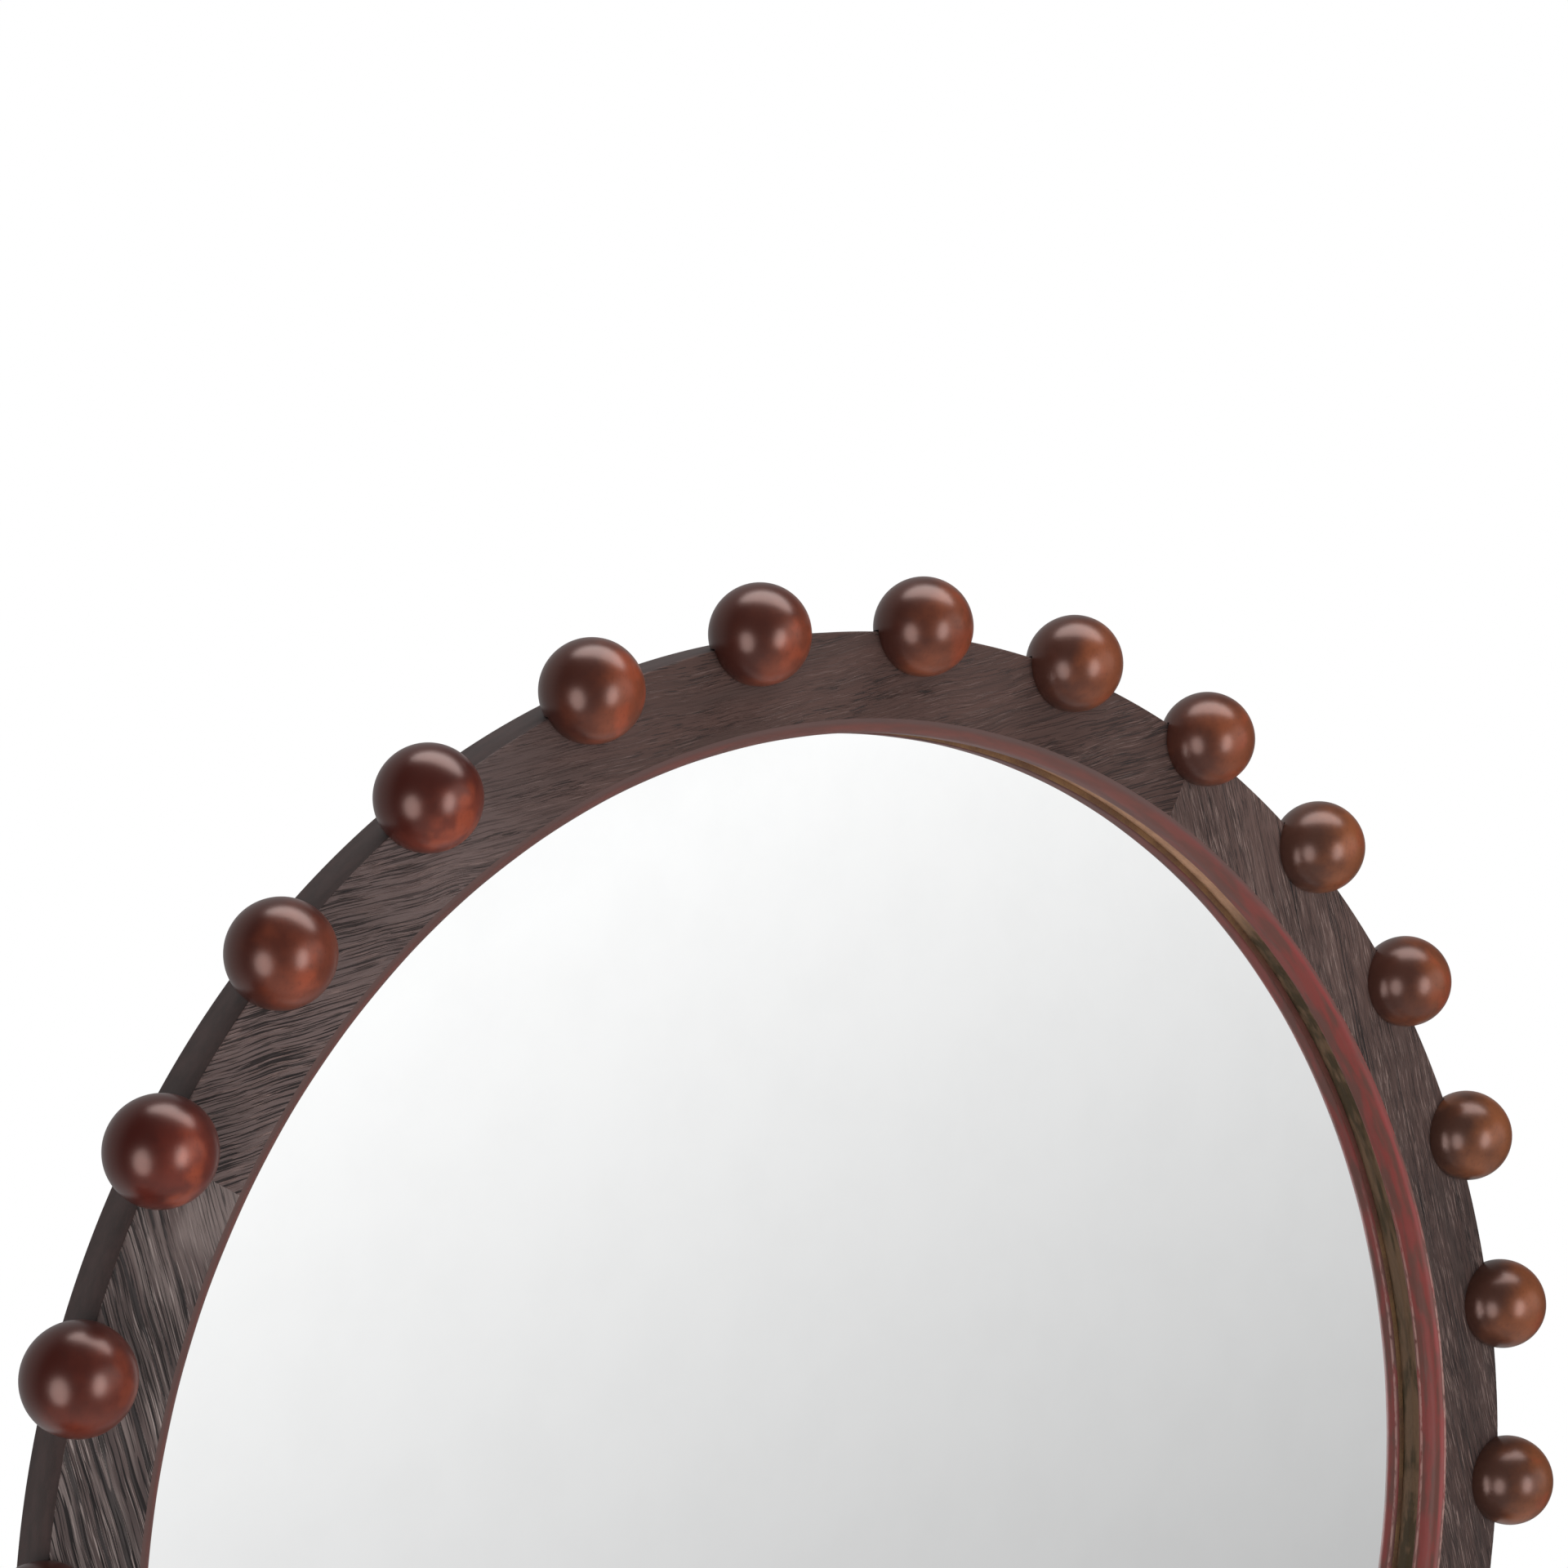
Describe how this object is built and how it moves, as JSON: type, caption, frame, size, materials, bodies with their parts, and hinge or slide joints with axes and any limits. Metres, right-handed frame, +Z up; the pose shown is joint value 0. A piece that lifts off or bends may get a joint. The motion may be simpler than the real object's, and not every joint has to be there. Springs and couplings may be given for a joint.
{
  "type": "round wall mirror",
  "caption": "Round wall mirror in a flat wood ring edged with wooden balls over its front corner, with a rounded bead round the glass and two swinging D-ring hangers behind.",
  "frame": {"origin": "centre of the back panel's rear face, which is flush with the back of the ring", "axes": "+Y points out of the back, at the wall; -Y is the side that is looked into; +Z is up and +X is to the right of a viewer in front"},
  "size_m": [0.762, 0.0555, 0.762],
  "materials": {
    "brushed_dark_wood": "wire-brushed open grain with a dark brown oil stain",
    "red_brown_bead": "smooth red-brown stain under a satin lacquer",
    "lacquered_ball_wood": "red-brown stained wood under a gloss lacquer",
    "mirror": "silvered glass",
    "grey_card": "matte grey card",
    "hardboard": "smooth brown hardboard",
    "zinc_steel": "bright zinc-plated steel",
    "dowel_wood": "plain beech",
    "black_rubber": "matte black rubber"
  },
  "bodies": {
    "frame": {"ring_segment_top": "brushed_dark_wood", "ring_segment_left": "brushed_dark_wood", "ring_segment_bottom": "brushed_dark_wood", "ring_segment_right": "brushed_dark_wood", "inner_bead": "red_brown_bead", "mirror_glass": "mirror", "backing_card": "grey_card", "back_panel": "hardboard", "panel_screws": "zinc_steel", "ball_01": "lacquered_ball_wood", "ball_02": "lacquered_ball_wood", "ball_03": "lacquered_ball_wood", "ball_04": "lacquered_ball_wood", "ball_05": "lacquered_ball_wood", "ball_06": "lacquered_ball_wood", "ball_07": "lacquered_ball_wood", "ball_08": "lacquered_ball_wood", "ball_09": "lacquered_ball_wood", "ball_10": "lacquered_ball_wood", "ball_11": "lacquered_ball_wood", "ball_12": "lacquered_ball_wood", "ball_13": "lacquered_ball_wood", "ball_14": "lacquered_ball_wood", "ball_15": "lacquered_ball_wood", "ball_16": "lacquered_ball_wood", "ball_17": "lacquered_ball_wood", "ball_18": "lacquered_ball_wood", "ball_19": "lacquered_ball_wood", "ball_20": "lacquered_ball_wood", "ball_21": "lacquered_ball_wood", "ball_22": "lacquered_ball_wood", "ball_23": "lacquered_ball_wood", "ball_24": "lacquered_ball_wood", "ball_25": "lacquered_ball_wood", "ball_26": "lacquered_ball_wood", "ball_27": "lacquered_ball_wood", "ball_28": "lacquered_ball_wood", "ball_dowels": "dowel_wood", "joint_dowels": "dowel_wood", "left_hanger_strap": "zinc_steel", "left_hanger_screws": "zinc_steel", "right_hanger_strap": "zinc_steel", "right_hanger_screws": "zinc_steel", "wall_bumper_1": "black_rubber", "wall_bumper_2": "black_rubber", "wall_bumper_3": "black_rubber", "wall_bumper_4": "black_rubber"},
    "left_ring": {"left_hanger_ring": "zinc_steel"},
    "right_ring": {"right_hanger_ring": "zinc_steel"}
  },
  "joints": [
    {"name": "left_ring_swing", "type": "hinge", "parent": "frame", "child": "left_ring", "pos_m": [-0.27191, 0.0025, 0.22104], "axis": [0.809, 0, -0.5878], "range_deg": [0, 180]},
    {"name": "right_ring_swing", "type": "hinge", "parent": "frame", "child": "right_ring", "pos_m": [0.27191, 0.0025, 0.22104], "axis": [0.809, 0, 0.5878], "range_deg": [0, 180]}
  ]
}
